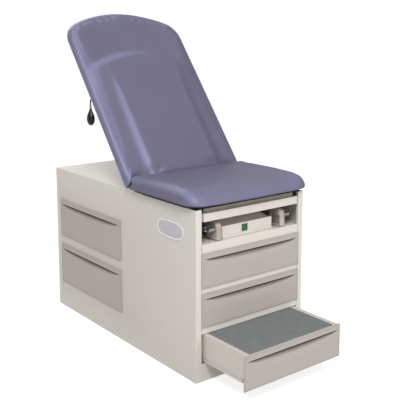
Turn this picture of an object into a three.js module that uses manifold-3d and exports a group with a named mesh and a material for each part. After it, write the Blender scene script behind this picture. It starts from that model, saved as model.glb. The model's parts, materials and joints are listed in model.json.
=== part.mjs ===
// Medical exam table: a sheet-steel cabinet with drawers in its foot end and its left side, a pull-out
// step, a pull-out leg rest, concealed stirrups and a treatment pan, a fixed seat and a tilting back.
// Millimetres. +Z is up, the foot end faces -Y, and the origin is on the floor under the cabinet's middle.
// Inside the shifted group "table", y is measured backwards from the cabinet's front face.
import * as THREE from "three";
import { mergeVertices } from "three/addons/utils/BufferGeometryUtils.js";
import Module from "manifold-3d";

// ---- Driving dimensions ----
const GAP = 0.3; // between pieces that touch
const SHEET = 2; // steel sheet
const CABINET = { half: 310, length: 1215, height: 750, flange: 30 };
const LINING = CABINET.half - SHEET - GAP; // half width between the side panels
const DOORWAY = CABINET.half - CABINET.flange - GAP; // half width between the front flanges
const RAILS = { upper: [560, 600], middle: [388, 413], lower: [211, 242], depth: 25 };
const APRON = 81; // height of the base pan's front

const FRONT = { thick: 5.5, width: 564, standOff: 0.5, lip: 26, scoopDepth: 4 };
const DRAWER = { half: 262, depth: 540, wall: 1.6 };
const RUNNER = { bar: 5.7, barHeight: 20, rail: 6.7, railHeight: 34 }; // drawer bars and their channels
const FRONT_DRAWERS = { upper: [410.5, 563], lower: [239.5, 390.5] };
const SIDE_DRAWERS = { upper: [394, 591], lower: [139, 349], width: 592, centre: 870.3, overlap: 11 };

const STEP = { out: 266, half: 268, bottom: 107, top: 207.5, depth: 413, front: [59, 209], width: 556 };
const MAT = { rim: 24, thick: 3 };
const LEG = { half: 275, bar: [696, 731], panel: [718.3, 722], depth: 415, padTop: 743 };
const TRAY = { floor: 600, back: 440, ledge: 718, ledgeWidth: 45 };
const PAN = { x: [-153, 133], front: 20, depth: 385, height: 54, wall: 2.5 };
const STIRRUP = { tube: 228, tubeHeight: 652, radius: 11, length: 370, plate: 183.5, plateThick: 27 };

const DECK = CABINET.height;
const SEAT = { half: 346, front: -34, rear: 437, board: 764, top: 828, corner: 90 };
const PIVOT = { y: 495, z: 768, x: 265, pin: 4 }; // backrest hinge axis, parallel to X
const BACK = { angle: 52, reach: 968, crown: 620, shoulder: 130, overhang: 15, thick: 51.7, board: 11.7 };
const SPRING = { anchor: [520, 662], lugRadius: 240, lugAngle: -9, body: 195, tube: 11, rod: 5, eye: 9 };
const LEVER = { x: -330, s: 486, n: -8, rod: 3.2 };

const COLOURS = {
  cream: [0xd8d2ca, 0.45, 0.0],
  taupe: [0xb8afa8, 0.5, 0.0],
  vinyl: [0x7b7a92, 0.55, 0.0],
  mat: [0x80837f, 0.85, 0.0],
  steel: [0xb9bbbd, 0.3, 0.9],
  zinc: [0x9a9c9e, 0.4, 0.8],
  black: [0x1c1c1e, 0.5, 0.0],
  board: [0x2c2a2c, 0.8, 0.0],
  badge: [0xd5d6da, 0.25, 0.2],
};

// ---- Solids ----
const wasm = await Module();
wasm.setup();

function solid(geometry) {
  const bare = geometry.clone();
  bare.deleteAttribute("normal");
  bare.deleteAttribute("uv");
  const merged = mergeVertices(bare, 1e-3);
  const vertProperties = merged.attributes.position.array;
  const triVerts = new Uint32Array(merged.index.array);
  return new wasm.Manifold(new wasm.Mesh({ numProp: 3, vertProperties, triVerts }));
}

function geometryOf(manifold) {
  const mesh = manifold.getMesh();
  const geometry = new THREE.BufferGeometry();
  geometry.setAttribute("position", new THREE.BufferAttribute(new Float32Array(mesh.vertProperties), 3));
  geometry.setIndex(new THREE.BufferAttribute(new Uint32Array(mesh.triVerts), 1));
  geometry.computeVertexNormals();
  return geometry;
}

function join(...geometries) {
  return geometryOf(geometries.map(solid).reduce((all, next) => all.add(next)));
}

function cut(geometry, ...tools) {
  return geometryOf(tools.map(solid).reduce((left, tool) => left.subtract(tool), solid(geometry)));
}

function common(first, second) {
  return geometryOf(solid(first).intersect(solid(second)));
}

function box(x, y, z) {
  const block = new THREE.BoxGeometry(x[1] - x[0], y[1] - y[0], z[1] - z[0]);
  return block.translate((x[0] + x[1]) / 2, (y[0] + y[1]) / 2, (z[0] + z[1]) / 2);
}

// A prism of a shape drawn in the plane across the axis: (y, z) for x, (x, z) for y, (x, y) for z.
function prism(shape, axis, from, to, curveSegments = 10) {
  const options = { depth: to - from, bevelEnabled: false, curveSegments };
  const geometry = new THREE.ExtrudeGeometry(shape, options);
  const X = new THREE.Vector3(1, 0, 0);
  const Y = new THREE.Vector3(0, 1, 0);
  const Z = new THREE.Vector3(0, 0, 1);
  const turn = new THREE.Matrix4();
  if (axis === "x") {
    turn.makeBasis(Y, Z, X).setPosition(from, 0, 0);
  } else if (axis === "y") {
    turn.makeBasis(X, Z, Y.clone().negate()).setPosition(0, to, 0);
  } else {
    turn.makeTranslation(0, 0, from);
  }
  return geometry.applyMatrix4(turn);
}

function roundedRectangle(width, height, radius) {
  const shape = new THREE.Shape();
  const u = width / 2 - radius;
  const v = height / 2 - radius;
  shape.absarc(u, -v, radius, -Math.PI / 2, 0);
  shape.absarc(u, v, radius, 0, Math.PI / 2);
  shape.absarc(-u, v, radius, Math.PI / 2, Math.PI);
  shape.absarc(-u, -v, radius, Math.PI, Math.PI * 1.5);
  return shape;
}

// A rod along an axis, through a point.
function rod(axis, radius, from, to, centre, sides = 20) {
  const cylinder = new THREE.CylinderGeometry(radius, radius, to - from, sides);
  const middle = (from + to) / 2;
  if (axis === "x") {
    return cylinder.rotateZ(Math.PI / 2).translate(middle, centre[0], centre[1]);
  }
  if (axis === "y") {
    return cylinder.translate(centre[0], middle, centre[1]);
  }
  return cylinder.rotateX(Math.PI / 2).translate(centre[0], centre[1], middle);
}

// ---- Assembly ----
const table = new THREE.Group();
table.position.y = -CABINET.length / 2;

function add(name, colour, geometry, parent = table) {
  const [color, roughness, metalness] = COLOURS[colour];
  const mesh = new THREE.Mesh(geometry, new THREE.MeshStandardMaterial({ color, roughness, metalness }));
  mesh.name = name;
  parent.add(mesh);
  return mesh;
}

const SIDES = [["left", -1], ["right", 1]];

// A range across the table, mirrored for the left side.
function across(side, inner, outer) {
  return side > 0 ? [inner, outer] : [-outer, -inner];
}

// ---- Cabinet ----
function cabinet() {
  const { half, length, height } = CABINET;
  const back = length - SHEET - GAP;
  const lip = 20;
  const floorPan = join(
    box([-LINING, LINING], [SHEET + GAP, back], [0, SHEET]),
    box([-DOORWAY, DOORWAY], [0, SHEET + 1], [0, APRON]),
    box([-LINING, -LINING + SHEET], [SHEET + GAP, back], [0, lip]),
    box([LINING - SHEET, LINING], [SHEET + GAP, back], [0, lip]),
    box([-LINING, LINING], [back - SHEET, back], [0, lip]),
  );
  add("base_pan", "cream", floorPan);

  for (const [side, sign] of SIDES) {
    const skin = box(across(sign, half - SHEET, half), [0, length], [0, height]);
    const flange = box(across(sign, half - CABINET.flange, half), [0, SHEET], [0, height]);
    const hemX = across(sign, half - CABINET.flange, half - CABINET.flange + SHEET);
    const hem = box(hemX, [0, 14], [25, height]);
    let panel = join(skin, flange, hem);
    if (side === "left") {
      const { width, centre, overlap } = SIDE_DRAWERS;
      const span = [centre - width / 2 + overlap, centre + width / 2 - overlap];
      for (const [bottom, top] of [SIDE_DRAWERS.upper, SIDE_DRAWERS.lower]) {
        panel = cut(panel, box([-half - 5, -half + 5], span, [bottom + overlap, top - overlap]));
      }
    }
    add(`${side}_side_panel`, "cream", panel);
  }

  const inside = LINING - 25;
  const rear = cut(
    box([-LINING, LINING], [length - 20, length], [SHEET + GAP, height - SHEET - 2 * GAP]),
    box([-LINING + SHEET, LINING - SHEET], [length - 21, length - SHEET], [SHEET + 20, height - 20]),
    box([-inside, inside], [length - 21, length - SHEET], [0, height]),
  );
  const rearAboveLip = cut(rear, box([-half, half], [length - 30, back + GAP], [0, lip + GAP]));
  add("rear_panel", "cream", rearAboveLip);

  const deckFront = TRAY.back + SHEET;
  const slot = box([-34, 34], [512, 775], [height - 10, height + 10]);
  const deck = join(
    box([-LINING, LINING], [deckFront, length - GAP], [height - SHEET, height]),
    box([-LINING, LINING], [deckFront, deckFront + SHEET], [height - 22, height]),
  );
  add("top_deck", "cream", cut(deck, slot));

  for (const name of ["upper", "middle", "lower"]) {
    const [bottom, top] = RAILS[name];
    const channel = cut(
      box([-DOORWAY + SHEET, DOORWAY - SHEET], [0, RAILS.depth], [bottom, top]),
      box([-half, half], [SHEET, RAILS.depth + 1], [bottom + SHEET, top - SHEET]),
    );
    add(`front_rail_${name}`, "cream", channel);
  }
  const badge = prism(roundedRectangle(190, 80, 39), "x", 0, 3).translate(-half - 3 - GAP, 179, 635);
  add("badge_plate", "badge", badge);
}

// The tray behind the open compartment: floor, cheeks, a low back and the ledges of the leg rest.
// Two guide blocks welded to its floor carry the stirrup tubes.
function compartmentTray() {
  const { floor, back, ledge, ledgeWidth } = TRAY;
  const front = RAILS.depth + GAP;
  const pieces = [
    box([-LINING, LINING], [front, back], [floor - SHEET, floor]),
    box([-LINING, LINING], [back - SHEET, back], [floor - SHEET, floor + 60]),
  ];
  for (const [, sign] of SIDES) {
    pieces.push(box(across(sign, LINING - SHEET, LINING), [front, back], [floor - SHEET, ledge]));
    pieces.push(box(across(sign, LINING - ledgeWidth, LINING), [front, back], [ledge - SHEET, ledge]));
    const guideX = across(sign, STIRRUP.tube - 16, STIRRUP.tube + 16);
    for (const y of [90, 330]) {
      pieces.push(box(guideX, [y, y + 30], [floor - 1, STIRRUP.tubeHeight + 16]));
    }
  }
  const bores = SIDES.map(([, sign]) =>
    rod("y", STIRRUP.radius + GAP, 80, 370, [sign * STIRRUP.tube, STIRRUP.tubeHeight], 24));
  add("compartment_tray", "cream", cut(join(...pieces), ...bores));
}

// A pressed frame: a sheet with windows and turned edges, drawn with its face at local y 0 and its
// edges reaching to local y = deep.
function pressedFrame(width, height, deep, windows) {
  const shell = cut(
    box([-width / 2, width / 2], [0, deep], [0, height]),
    box([-width / 2 + SHEET, width / 2 - SHEET], [SHEET, deep + 1], [SHEET, height - SHEET]),
  );
  const pane = (width - 60) / windows;
  const holes = [];
  for (let i = 0; i < windows; i += 1) {
    const left = -width / 2 + 50 + i * pane;
    for (const [low, high] of [[0.08, 0.2], [0.42, 0.56], [0.78, 0.92]]) {
      holes.push(box([left, left + pane - 40], [-1, SHEET + 1], [low * height, high * height]));
    }
  }
  return cut(shell, ...holes);
}

function frames() {
  const bottom = 22;
  const face = DRAWER.half + RUNNER.bar + RUNNER.rail + 2 * GAP;
  const deep = LINING - face - GAP;
  const front = RAILS.depth + 1;
  const depth = 544;
  for (const [side, sign] of SIDES) {
    const frame = add(`${side}_slide_frame`, "zinc", pressedFrame(depth, 568, deep, 3));
    frame.rotation.z = -sign * Math.PI / 2;
    frame.position.set(sign * (face + GAP), front + depth / 2, bottom);
  }
  for (const [name, sign] of [["mid_bulkhead", -1], ["rear_bulkhead", 1]]) {
    const frame = add(name, "zinc", pressedFrame(2 * (LINING - 2), 576, 24, 4));
    frame.rotation.z = sign > 0 ? 0 : Math.PI;
    frame.position.set(0, SIDE_DRAWERS.centre + sign * (face + GAP), bottom);
  }
}

// ---- Drawers ----
// A drawer front, standing in front of local y 0: a moulded slab with a lip along its top and, under
// the lip, a finger scoop that is deepest in the middle.
function drawerFront(width, height) {
  const { thick, standOff, lip, scoopDepth } = FRONT;
  const face = -thick - standOff;
  const section = new THREE.Shape();
  section.moveTo(-standOff, 0);
  section.lineTo(face + 3, 0);
  section.quadraticCurveTo(face, 0, face, 4);
  section.lineTo(face, height - 3);
  section.quadraticCurveTo(face, height, face + 3, height);
  section.lineTo(-standOff, height);
  section.closePath();
  const slab = prism(section, "x", -width / 2, width / 2, 4);
  const underLip = height - lip;
  const scoop = new THREE.SphereGeometry(1, 32, 16).scale(width * 0.47, scoopDepth, 34);
  scoop.translate(0, face, underLip);
  const below = box([-width, width], [-60, 0], [underLip - 60, underLip]);
  return cut(slab, common(scoop, below));
}

// An open box with a runner bar along each side; its front wall is at local y 0.
function drawerBox(bottom, height, runnerMiddle) {
  const { half, depth, wall } = DRAWER;
  const shell = cut(
    box([-half, half], [-0.2, depth], [bottom, bottom + height]),
    box([-half + wall, half - wall], [1.6, depth - wall], [bottom + wall, bottom + height + 1]),
  );
  const z = [runnerMiddle - RUNNER.barHeight / 2, runnerMiddle + RUNNER.barHeight / 2];
  const bars = SIDES.map(([, sign]) => box(across(sign, half - 0.5, half + RUNNER.bar), [8, depth - 4], z));
  return join(shell, ...bars);
}

// A fixed channel around the runner bar, open towards the drawer.
function drawerRail(sign, runnerMiddle) {
  const { half, depth } = DRAWER;
  const inner = half + 2;
  const outer = half + RUNNER.bar + GAP + RUNNER.rail;
  const z = [runnerMiddle - RUNNER.railHeight / 2, runnerMiddle + RUNNER.railHeight / 2];
  return cut(
    box(across(sign, inner, outer), [20, depth - 10], z),
    box(across(sign, inner - 1, outer - 1.6), [10, depth], [z[0] + 1.6, z[1] - 1.6]),
  );
}

function drawer(name, [bottom, top], width, boxHeight, place) {
  const group = new THREE.Group();
  group.position.set(...place.at);
  group.rotation.z = place.turn;
  table.add(group);
  const boxBottom = bottom + 13;
  const runnerMiddle = boxBottom + boxHeight * 0.4;
  const front = add(`${name}_front`, "taupe", drawerFront(width, top - bottom), group);
  front.position.z = bottom;
  add(`${name}_box`, "cream", drawerBox(boxBottom, boxHeight, runnerMiddle), group);
  for (const [side, sign] of SIDES) {
    add(`${name}_${side}_rail`, "zinc", drawerRail(sign, runnerMiddle), group);
  }
}

function drawers() {
  for (const [level, span] of Object.entries(FRONT_DRAWERS)) {
    drawer(`front_drawer_${level}`, span, FRONT.width, 118, { at: [0, 0, 0], turn: 0 });
  }
  const { width, centre } = SIDE_DRAWERS;
  const place = { at: [-CABINET.half, centre, 0], turn: -Math.PI / 2 };
  for (const level of ["upper", "lower"]) {
    drawer(`side_drawer_${level}`, SIDE_DRAWERS[level], width, 150, place);
  }
}

// ---- Step, pulled out ----
function step() {
  const { out, half, bottom, top, depth, front } = STEP;
  const { rim, thick } = MAT;
  const start = -out + GAP;
  const y = [start, start + depth];
  const recess = top - thick + 0.5;
  const shell = cut(
    box([-half, half], y, [bottom, top]),
    box([-half + SHEET, half - SHEET], [y[0] + SHEET, y[1] + 1], [bottom - 1, recess - SHEET]),
    box([-half + rim, half - rim], [y[0] + 3, y[1] + 1], [recess, top + 1]),
  );
  const runnerSpan = [y[0] + 20, y[1]];
  const runners = SIDES.map(([, sign]) =>
    box(across(sign, 256, half - SHEET + 0.5), runnerSpan, [87, bottom + 3]));
  add("step_box", "cream", join(shell, ...runners));
  const matHalf = half - rim - GAP;
  add("step_mat", "mat", box([-matHalf, matHalf], [y[0] + 3 + GAP, y[1] - 2], [recess + GAP, top + 0.8]));
  const face = add("step_front", "taupe", drawerFront(STEP.width, front[1] - front[0]));
  face.position.set(0, -out, front[0]);
  for (const [side, sign] of SIDES) {
    const web = box(across(sign, 270, 274.8), [6, 430], [82, 124]);
    const ledge = box(across(sign, 254, 272), [6, 430], [82, 84.5]);
    add(`step_${side}_rail`, "zinc", join(web, ledge));
  }
}

// ---- Leg rest ----
function legRest() {
  const { half, bar, panel, depth, padTop } = LEG;
  add("leg_rest_panel", "zinc", box([-half, half], [16, 16 + depth], panel));
  const front = cut(
    box([-half + 5, half - 5], [-3, 15.5], bar),
    box([-half + 17, half - 17], [-0.5, 20], [bar[0] - 1, bar[1] - 2.5]),
  );
  add("leg_rest_bar", "cream", front);
  add("leg_rest_pad", "vinyl", box([-half + 13, half - 13], [20, 12 + depth], [panel[1] + GAP, padTop]));
}

// ---- Treatment pan ----
function treatmentPan() {
  const { x, front, depth, height, wall } = PAN;
  const bottom = TRAY.floor + GAP;
  const block = box(x, [front, front + depth], [bottom, bottom + height]);
  const insideX = [x[0] + wall, x[1] - wall];
  const insideY = [front + wall, front + depth - wall];
  const hollow = box(insideX, insideY, [bottom + wall, bottom + height + 1]);
  add("treatment_pan", "cream", cut(block, hollow));
}

// ---- Stirrups, stowed ----
function stirrups() {
  const { tube, tubeHeight, radius, length, plate, plateThick } = STIRRUP;
  const forkY = 42;
  const pinY = forkY - 24;
  const inner = plate + plateThick / 2 + GAP;
  for (const [side, sign] of SIDES) {
    const post = [sign * tube, forkY];
    const level = (low, high) => [tubeHeight + low, tubeHeight + high];
    const forkX = across(sign, tube - 7, tube + 7);
    const bar = join(
      rod("y", radius, forkY + 20, forkY + 20 + length, [sign * tube, tubeHeight]),
      box(forkX, [forkY - 2, forkY + 26], level(-11, -4)),
      box(forkX, [forkY - 2, forkY + 26], level(4, 11)),
      rod("z", 7, ...level(-11, -4), post),
      rod("z", 7, ...level(4, 11), post),
      rod("z", 3, ...level(-11, 11), post, 12),
    );
    add(`stirrup_${side}_tube`, "steel", bar);
    const swivel = join(
      rod("z", 7, ...level(-3.6, 3.6), post),
      box(across(sign, tube - 6, tube + 6), [forkY - 30, forkY], level(-3.6, 3.6)),
      box(across(sign, inner + 0.6, tube + 6), [forkY - 32, forkY - 16], level(-6, 6)),
      rod("x", 4, ...across(sign, plate - 10, inner + 5), [pinY, tubeHeight], 16),
    );
    const bore = rod("z", 3 + GAP, ...level(-10, 10), post, 16);
    add(`stirrup_${side}_swivel`, "zinc", cut(swivel, bore));
    add(`stirrup_${side}_foot_plate`, "cream", footPlate(sign, pinY));
  }
}

// A foot plate seen from the side as an upright slab with a round front shoulder.
function footPlate(sign, pinY) {
  const { plate, plateThick, tubeHeight } = STIRRUP;
  const low = TRAY.floor + 4;
  const high = 682;
  const front = 3;
  const back = 72;
  const profile = new THREE.Shape();
  profile.moveTo(back, low);
  profile.lineTo(back, high - 8);
  profile.absarc(back - 8, high - 8, 8, 0, Math.PI / 2);
  profile.lineTo(front + 36, high);
  profile.quadraticCurveTo(front, high, front, high - 42);
  profile.lineTo(front, low);
  profile.closePath();
  const slab = prism(profile, "x", plate - plateThick / 2, plate + plateThick / 2, 8);
  const pocket = box([plate - plateThick, plate - 2], [front + 6, back - 5], [low + 5, high - 30]);
  const bore = rod("x", 4 + GAP, plate - plateThick, plate + plateThick, [pinY, tubeHeight], 16);
  const piece = cut(slab, pocket, bore);
  if (sign < 0) {
    const mirrored = piece.applyMatrix4(new THREE.Matrix4().makeScale(-1, 1, 1));
    const index = mirrored.index.array;
    for (let i = 0; i < index.length; i += 3) {
      [index[i + 1], index[i + 2]] = [index[i + 2], index[i + 1]];
    }
  }
  return piece;
}

// ---- Seat ----
// Its rear end is hollowed, so that the near end of the back cushion can turn past it.
function seat() {
  const { half, front, rear, board, top, corner } = SEAT;
  const boardPiece = box([-half + 22, half - 22], [front + 30, 432], [DECK + GAP, board]);
  add("seat_board", "board", boardPiece);

  const low = board + GAP;
  const side = new THREE.Shape();
  side.moveTo(front + 14, low);
  side.quadraticCurveTo(front, low, front, low + 16);
  side.bezierCurveTo(front, top - 22, front + 40, top - 12, front + 110, top - 6);
  side.quadraticCurveTo(front + 170, top, front + 240, top);
  side.lineTo(rear + 9, top);
  side.quadraticCurveTo(rear + 23, top, rear + 15, top - 12.5);
  side.quadraticCurveTo(rear + 6.5, top - 19.5, rear, top - 31);
  side.quadraticCurveTo(rear - 2, top - 34.5, rear + 1.5, top - 37.5);
  side.lineTo(rear + 35.8, low);
  side.closePath();

  const plan = new THREE.Shape();
  plan.moveTo(-half, 600);
  plan.lineTo(-half, front + corner);
  plan.quadraticCurveTo(-half, front + 6, -half + corner, front + 3);
  plan.quadraticCurveTo(0, front - 8, half - corner, front + 3);
  plan.quadraticCurveTo(half, front + 6, half, front + corner);
  plan.lineTo(half, 600);
  plan.closePath();
  const cushion = common(prism(side, "x", -half - 5, half + 5, 8), prism(plan, "z", low - 5, top + 5, 8));
  add("seat_cushion", "vinyl", cushion);
}

// ---- Backrest, drawn lying flat and then raised about its hinge ----
// The outline has straight sides, round shoulders and a shallow crown, inset all round by a margin.
function backOutline(margin, nearEnd) {
  const half = SEAT.half - margin;
  const shoulder = BACK.shoulder - margin;
  const crown = BACK.crown - margin;
  const reach = BACK.reach - margin;
  const inner = half - shoulder;
  const centre = reach - crown;
  const rise = Math.sqrt((crown - shoulder) ** 2 - inner ** 2);
  const lean = Math.atan2(rise, inner);
  const shape = new THREE.Shape();
  shape.moveTo(-half, nearEnd);
  shape.lineTo(half, nearEnd);
  shape.absarc(inner, centre + rise, shoulder, 0, lean);
  shape.absarc(0, centre, crown, lean, Math.PI - lean);
  shape.absarc(-inner, centre + rise, shoulder, Math.PI - lean, Math.PI);
  shape.closePath();
  return shape;
}

function backrest() {
  const tilt = new THREE.Group();
  tilt.position.set(0, PIVOT.y, PIVOT.z);
  tilt.rotation.x = THREE.MathUtils.degToRad(BACK.angle);
  table.add(tilt);
  const boardLow = SEAT.board + GAP - PIVOT.z;
  const boardHigh = boardLow + BACK.board;
  const cushionLow = boardHigh + GAP;
  add("back_board", "board", prism(backOutline(30, 12), "z", boardLow, boardHigh, 8), tilt);
  const padding = prism(backOutline(0, -BACK.overhang), "z", cushionLow, cushionLow + BACK.thick, 10);
  add("back_cushion", "vinyl", padding, tilt);

  for (const [side, sign] of SIDES) {
    const x = across(sign, PIVOT.x - 3, PIVOT.x + 2);
    const knuckle = rod("x", 8, x[0], x[1], [0, 0]);
    const strap = box(x, [4, 230], [boardLow - 11, boardLow - GAP]);
    const toe = box(across(sign, PIVOT.x - 25, PIVOT.x + 2), [40, 230], [boardLow - 3, boardLow - GAP]);
    const hole = rod("x", PIVOT.pin + GAP, x[0] - 5, x[1] + 5, [0, 0]);
    add(`back_hinge_arm_${side}`, "zinc", cut(join(knuckle, strap, toe), hole), tilt);
  }

  const lugAngle = THREE.MathUtils.degToRad(SPRING.lugAngle);
  const lug = [SPRING.lugRadius * Math.cos(lugAngle), SPRING.lugRadius * Math.sin(lugAngle)];
  const plate = box([-28, 28], [lug[0] - 32, lug[0] + 32], [boardLow - 3, boardLow - GAP]);
  const ears = SIDES.map(([, sign]) => {
    const shape = new THREE.Shape();
    shape.moveTo(lug[0] - 26, boardLow - 1);
    shape.lineTo(lug[0] - 11, lug[1]);
    shape.absarc(lug[0], lug[1], 11, Math.PI, 0, false);
    shape.lineTo(lug[0] + 26, boardLow - 1);
    shape.closePath();
    const x = across(sign, 12, 15);
    return prism(shape, "x", x[0], x[1], 6);
  });
  const eye = rod("x", 4.2, -30, 30, lug, 16);
  add("spring_lug", "zinc", cut(join(plate, ...ears), eye), tilt);
  releaseLever(tilt);
}

// The lever comes out from under the board's left edge, turns down and carries a drop-shaped grip.
function releaseLever(tilt) {
  const { x, s, n, rod: radius } = LEVER;
  const hang = new THREE.Group();
  hang.position.set(x, s, n);
  hang.rotation.x = -tilt.rotation.x;
  tilt.add(hang);
  const arm = join(
    new THREE.SphereGeometry(radius, 16, 8),
    new THREE.CylinderGeometry(radius, radius, 66, 16).rotateX(Math.PI / 2).translate(0, 0, -33),
    new THREE.CylinderGeometry(radius, radius, 62, 16).rotateZ(Math.PI / 2).translate(31, 0, 0),
  );
  add("release_lever", "steel", arm, hang);
  const dropTop = -44;
  const dropEnd = -126;
  const flatness = 0.72;
  const socket = (radius + GAP) / flatness;
  const profile = new THREE.Path();
  profile.moveTo(socket, dropTop);
  profile.lineTo(7, dropTop);
  profile.bezierCurveTo(10, dropTop - 18, 24, dropTop - 28, 24, dropTop - 50);
  profile.bezierCurveTo(24, dropTop - 69, 13, dropEnd, 0, dropEnd);
  profile.lineTo(0, -66 - GAP);
  profile.lineTo(socket, -66 - GAP);
  profile.lineTo(socket, dropTop);
  const points = profile.getPoints(6).reverse();
  const drop = new THREE.LatheGeometry(points, 20).rotateX(Math.PI / 2).scale(flatness, 1, 1);
  add("release_grip", "black", drop, hang);
}

// ---- Fixed hinge brackets, each with its pin ----
function hingeBrackets() {
  for (const [side, sign] of SIDES) {
    const x = across(sign, PIVOT.x + 3, PIVOT.x + 8);
    const ear = join(
      rod("x", 7, x[0], x[1], [PIVOT.y, PIVOT.z]),
      box(x, [PIVOT.y - 7, PIVOT.y + 7], [DECK + GAP, PIVOT.z]),
    );
    const footX = across(sign, PIVOT.x + 3, PIVOT.x + 32);
    const foot = box(footX, [PIVOT.y - 18, PIVOT.y + 18], [DECK + GAP, DECK + 2.3]);
    const pin = rod("x", PIVOT.pin, sign * PIVOT.x - 8, sign * PIVOT.x + 8, [PIVOT.y, PIVOT.z]);
    add(`back_hinge_bracket_${side}`, "zinc", join(ear, foot, pin));
  }
}

// ---- Gas spring, from an anchor under the deck to the lug on the back board ----
function gasSpring() {
  const [anchorY, anchorZ] = SPRING.anchor;
  const under = DECK - SHEET - GAP;
  const pieces = [rod("x", 5, -40, 40, [anchorY, anchorZ])];
  for (const [, sign] of SIDES) {
    pieces.push(box(across(sign, 36, 40), [anchorY - 14, anchorY + 14], [anchorZ - 12, under]));
    pieces.push(box(across(sign, 36, 66), [anchorY - 14, anchorY + 14], [under - 3, under]));
  }
  add("spring_anchor", "zinc", join(...pieces));

  const lugAngle = THREE.MathUtils.degToRad(BACK.angle + SPRING.lugAngle);
  const lugY = PIVOT.y + SPRING.lugRadius * Math.cos(lugAngle);
  const lugZ = PIVOT.z + SPRING.lugRadius * Math.sin(lugAngle);
  const reach = Math.hypot(lugY - anchorY, lugZ - anchorZ);
  const spring = new THREE.Group();
  spring.position.set(0, anchorY, anchorZ);
  spring.rotation.x = Math.atan2(lugZ - anchorZ, lugY - anchorY);
  table.add(spring);
  const barrel = join(
    rod("x", SPRING.eye, -9, 9, [0, 0]),
    rod("y", 7, 2, 26, [0, 0]),
    rod("y", SPRING.tube, 20, SPRING.body, [0, 0]),
  );
  const bore = rod("y", SPRING.rod + GAP, 36, SPRING.body + 5, [0, 0]);
  const eyeHole = rod("x", 5 + GAP, -20, 20, [0, 0]);
  add("gas_spring_cylinder", "black", cut(barrel, bore, eyeHole), spring);
  const plunger = join(
    rod("y", SPRING.rod, reach - 186, reach - 2, [0, 0]),
    rod("x", 8, -4, 4, [reach, 0]),
  );
  add("gas_spring_rod", "steel", cut(plunger, rod("x", 4.2, -10, 10, [reach, 0], 16)), spring);
}

cabinet();
compartmentTray();
frames();
drawers();
step();
legRest();
treatmentPan();
stirrups();
seat();
hingeBrackets();
backrest();
gasSpring();

const examTable = new THREE.Group();
examTable.add(table);
export default examTable;
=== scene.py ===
"""Medical exam table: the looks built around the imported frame.

Metres in the row frame: +Z is up, the foot end faces -Y, and the origin is on the floor under the cabinet.
Hard parts are the frame's own shapes with rounded edges or are modelled again at full detail. The cushions
are drawn lying flat and inflated by cloth simulation; the back is then raised about its hinge.
"""

import json
import math
from contextlib import contextmanager

import bmesh
import bpy
import numpy as np
from mathutils import Matrix, Vector

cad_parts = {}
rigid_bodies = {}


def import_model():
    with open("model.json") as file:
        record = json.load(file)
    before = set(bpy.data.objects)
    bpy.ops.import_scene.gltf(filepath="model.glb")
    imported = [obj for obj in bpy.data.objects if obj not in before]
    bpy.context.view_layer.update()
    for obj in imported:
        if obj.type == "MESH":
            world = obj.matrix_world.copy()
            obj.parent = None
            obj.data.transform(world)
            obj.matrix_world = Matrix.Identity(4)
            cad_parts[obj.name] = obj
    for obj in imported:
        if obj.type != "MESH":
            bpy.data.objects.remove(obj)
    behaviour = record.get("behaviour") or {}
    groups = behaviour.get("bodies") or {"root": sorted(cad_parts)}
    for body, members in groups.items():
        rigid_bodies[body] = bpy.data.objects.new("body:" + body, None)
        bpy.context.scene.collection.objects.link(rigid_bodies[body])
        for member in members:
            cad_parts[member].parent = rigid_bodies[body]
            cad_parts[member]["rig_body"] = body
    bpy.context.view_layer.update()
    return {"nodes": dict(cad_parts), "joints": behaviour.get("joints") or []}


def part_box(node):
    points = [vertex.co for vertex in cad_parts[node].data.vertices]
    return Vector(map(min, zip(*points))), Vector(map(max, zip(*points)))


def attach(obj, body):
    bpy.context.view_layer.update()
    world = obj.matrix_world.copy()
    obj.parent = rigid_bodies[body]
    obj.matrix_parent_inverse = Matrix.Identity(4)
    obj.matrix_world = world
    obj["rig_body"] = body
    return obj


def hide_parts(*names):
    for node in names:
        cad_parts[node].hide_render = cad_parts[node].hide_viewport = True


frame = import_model()

MM = 0.001
HINGE = next(Vector(j["pos_m"]) for j in frame["joints"] if j["name"] == "backrest_tilt")
BACK_TURN = Matrix.Translation(HINGE) @ Matrix.Rotation(math.radians(52), 4, "X")  # flat back to raised
TABLE_HALF = -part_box("left_side_panel")[0].x
FRONT_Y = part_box("left_side_panel")[0].y
DECK_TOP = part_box("top_deck")[1].z
SIDES = (("left", -1), ("right", 1))


def mm(*rows):
    """Rows of millimetres as rows of metres."""
    return [tuple(value * MM for value in row) for row in rows]


# ---- camera, floor and light


def add_object(name, data):
    obj = bpy.data.objects.new(name, data)
    bpy.context.scene.collection.objects.link(obj)
    return obj


def make_camera():
    place, downwards, turned = (-2.1431, -2.9749, 1.4963), 8.621, -38.073
    data = bpy.data.cameras.new("camera")
    data.lens = 67.911
    data.sensor_width = 36.0
    data.shift_y = -0.15
    camera = add_object("camera", data)
    camera.location = place
    camera.rotation_euler = (math.radians(90 - downwards), 0, math.radians(turned))
    bpy.context.scene.camera = camera


def area_light(name, location, target, size, power, colour=(1, 1, 1)):
    data = bpy.data.lights.new(name, "AREA")
    data.shape = "DISK"
    data.size = size
    data.energy = power
    data.color = colour
    light = add_object(name, data)
    light.location = location
    aim = Vector(target) - Vector(location)
    light.rotation_euler = aim.to_track_quat("-Z", "Y").to_euler()


def seen_strength(tree, unseen, extra, socket):
    """A strength that is higher by extra where the camera sees the surface itself."""
    total = tree.nodes.new("ShaderNodeMath")
    total.operation = "MULTIPLY_ADD"
    total.inputs[1].default_value = extra
    total.inputs[2].default_value = unseen
    tree.links.new(tree.nodes.new("ShaderNodeLightPath").outputs["Is Camera Ray"], total.inputs[0])
    tree.links.new(total.outputs[0], socket)


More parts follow.
